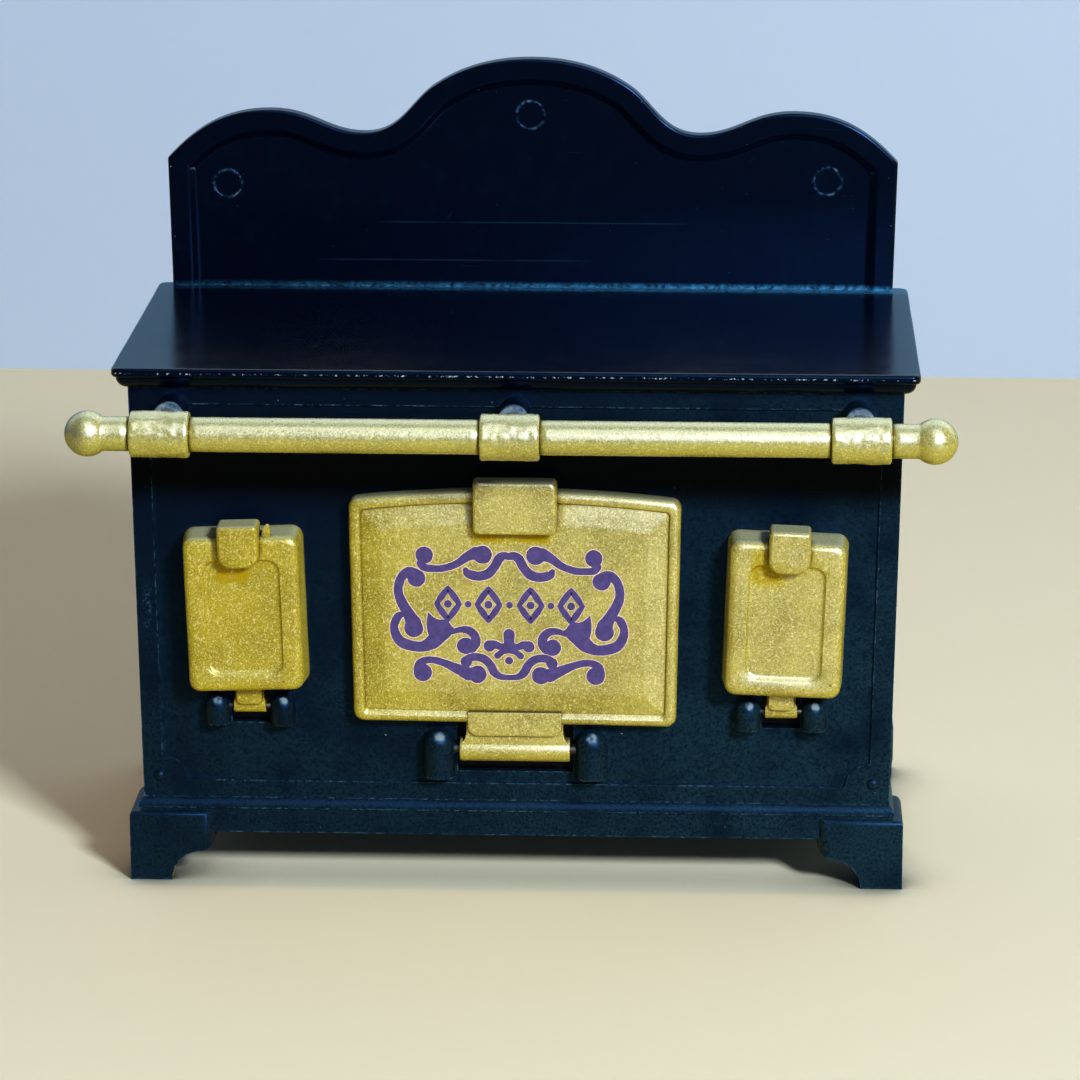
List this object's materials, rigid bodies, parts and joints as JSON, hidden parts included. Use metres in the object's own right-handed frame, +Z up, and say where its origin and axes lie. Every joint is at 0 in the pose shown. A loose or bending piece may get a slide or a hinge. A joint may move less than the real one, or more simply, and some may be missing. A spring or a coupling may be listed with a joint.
{
  "type": "toy oven",
  "caption": "Free-standing toy oven with a crested backsplash, a gold guard rail, a drop-down oven door and small side doors, on a plinth with bracket feet.",
  "frame": {"origin": "on the floor, under the middle of the whole object's box", "axes": "+Z up, -Y towards the front with the doors, +X to the right as seen from the front"},
  "size_m": [0.0846, 0.0524, 0.0761],
  "materials": {
    "black_plastic": "blue-black polished moulding",
    "liner_plastic": "plain black moulding",
    "gold_paint": "sprayed metallic gold paint over plastic",
    "steel": "plain steel wire and screws"
  },
  "bodies": {
    "case": {"body_shell": "black_plastic", "top_shelf": "black_plastic", "backsplash": "black_plastic", "base_plinth": "black_plastic", "base_screws": "steel", "oven_liner": "liner_plastic", "left_liner": "liner_plastic", "right_liner": "liner_plastic", "guard_rail": "gold_paint", "oven_hinge_pin": "steel", "left_hinge_pin": "steel", "right_hinge_pin": "steel"},
    "oven_leaf": {"oven_door": "gold_paint"},
    "left_leaf": {"left_door": "gold_paint"},
    "right_leaf": {"right_door": "gold_paint"}
  },
  "joints": [
    {"name": "oven_door_hinge", "type": "hinge", "parent": "case", "child": "oven_leaf", "pos_m": [0, -0.01388, 0.0139], "axis": [1, 0, 0], "range_deg": [0, 90]},
    {"name": "left_door_hinge", "type": "hinge", "parent": "case", "child": "left_leaf", "pos_m": [-0.02605, -0.01392, 0.0181], "axis": [1, 0, 0], "range_deg": [0, 90]},
    {"name": "right_door_hinge", "type": "hinge", "parent": "case", "child": "right_leaf", "pos_m": [0.02605, -0.01392, 0.0181], "axis": [1, 0, 0], "range_deg": [0, 90]}
  ]
}
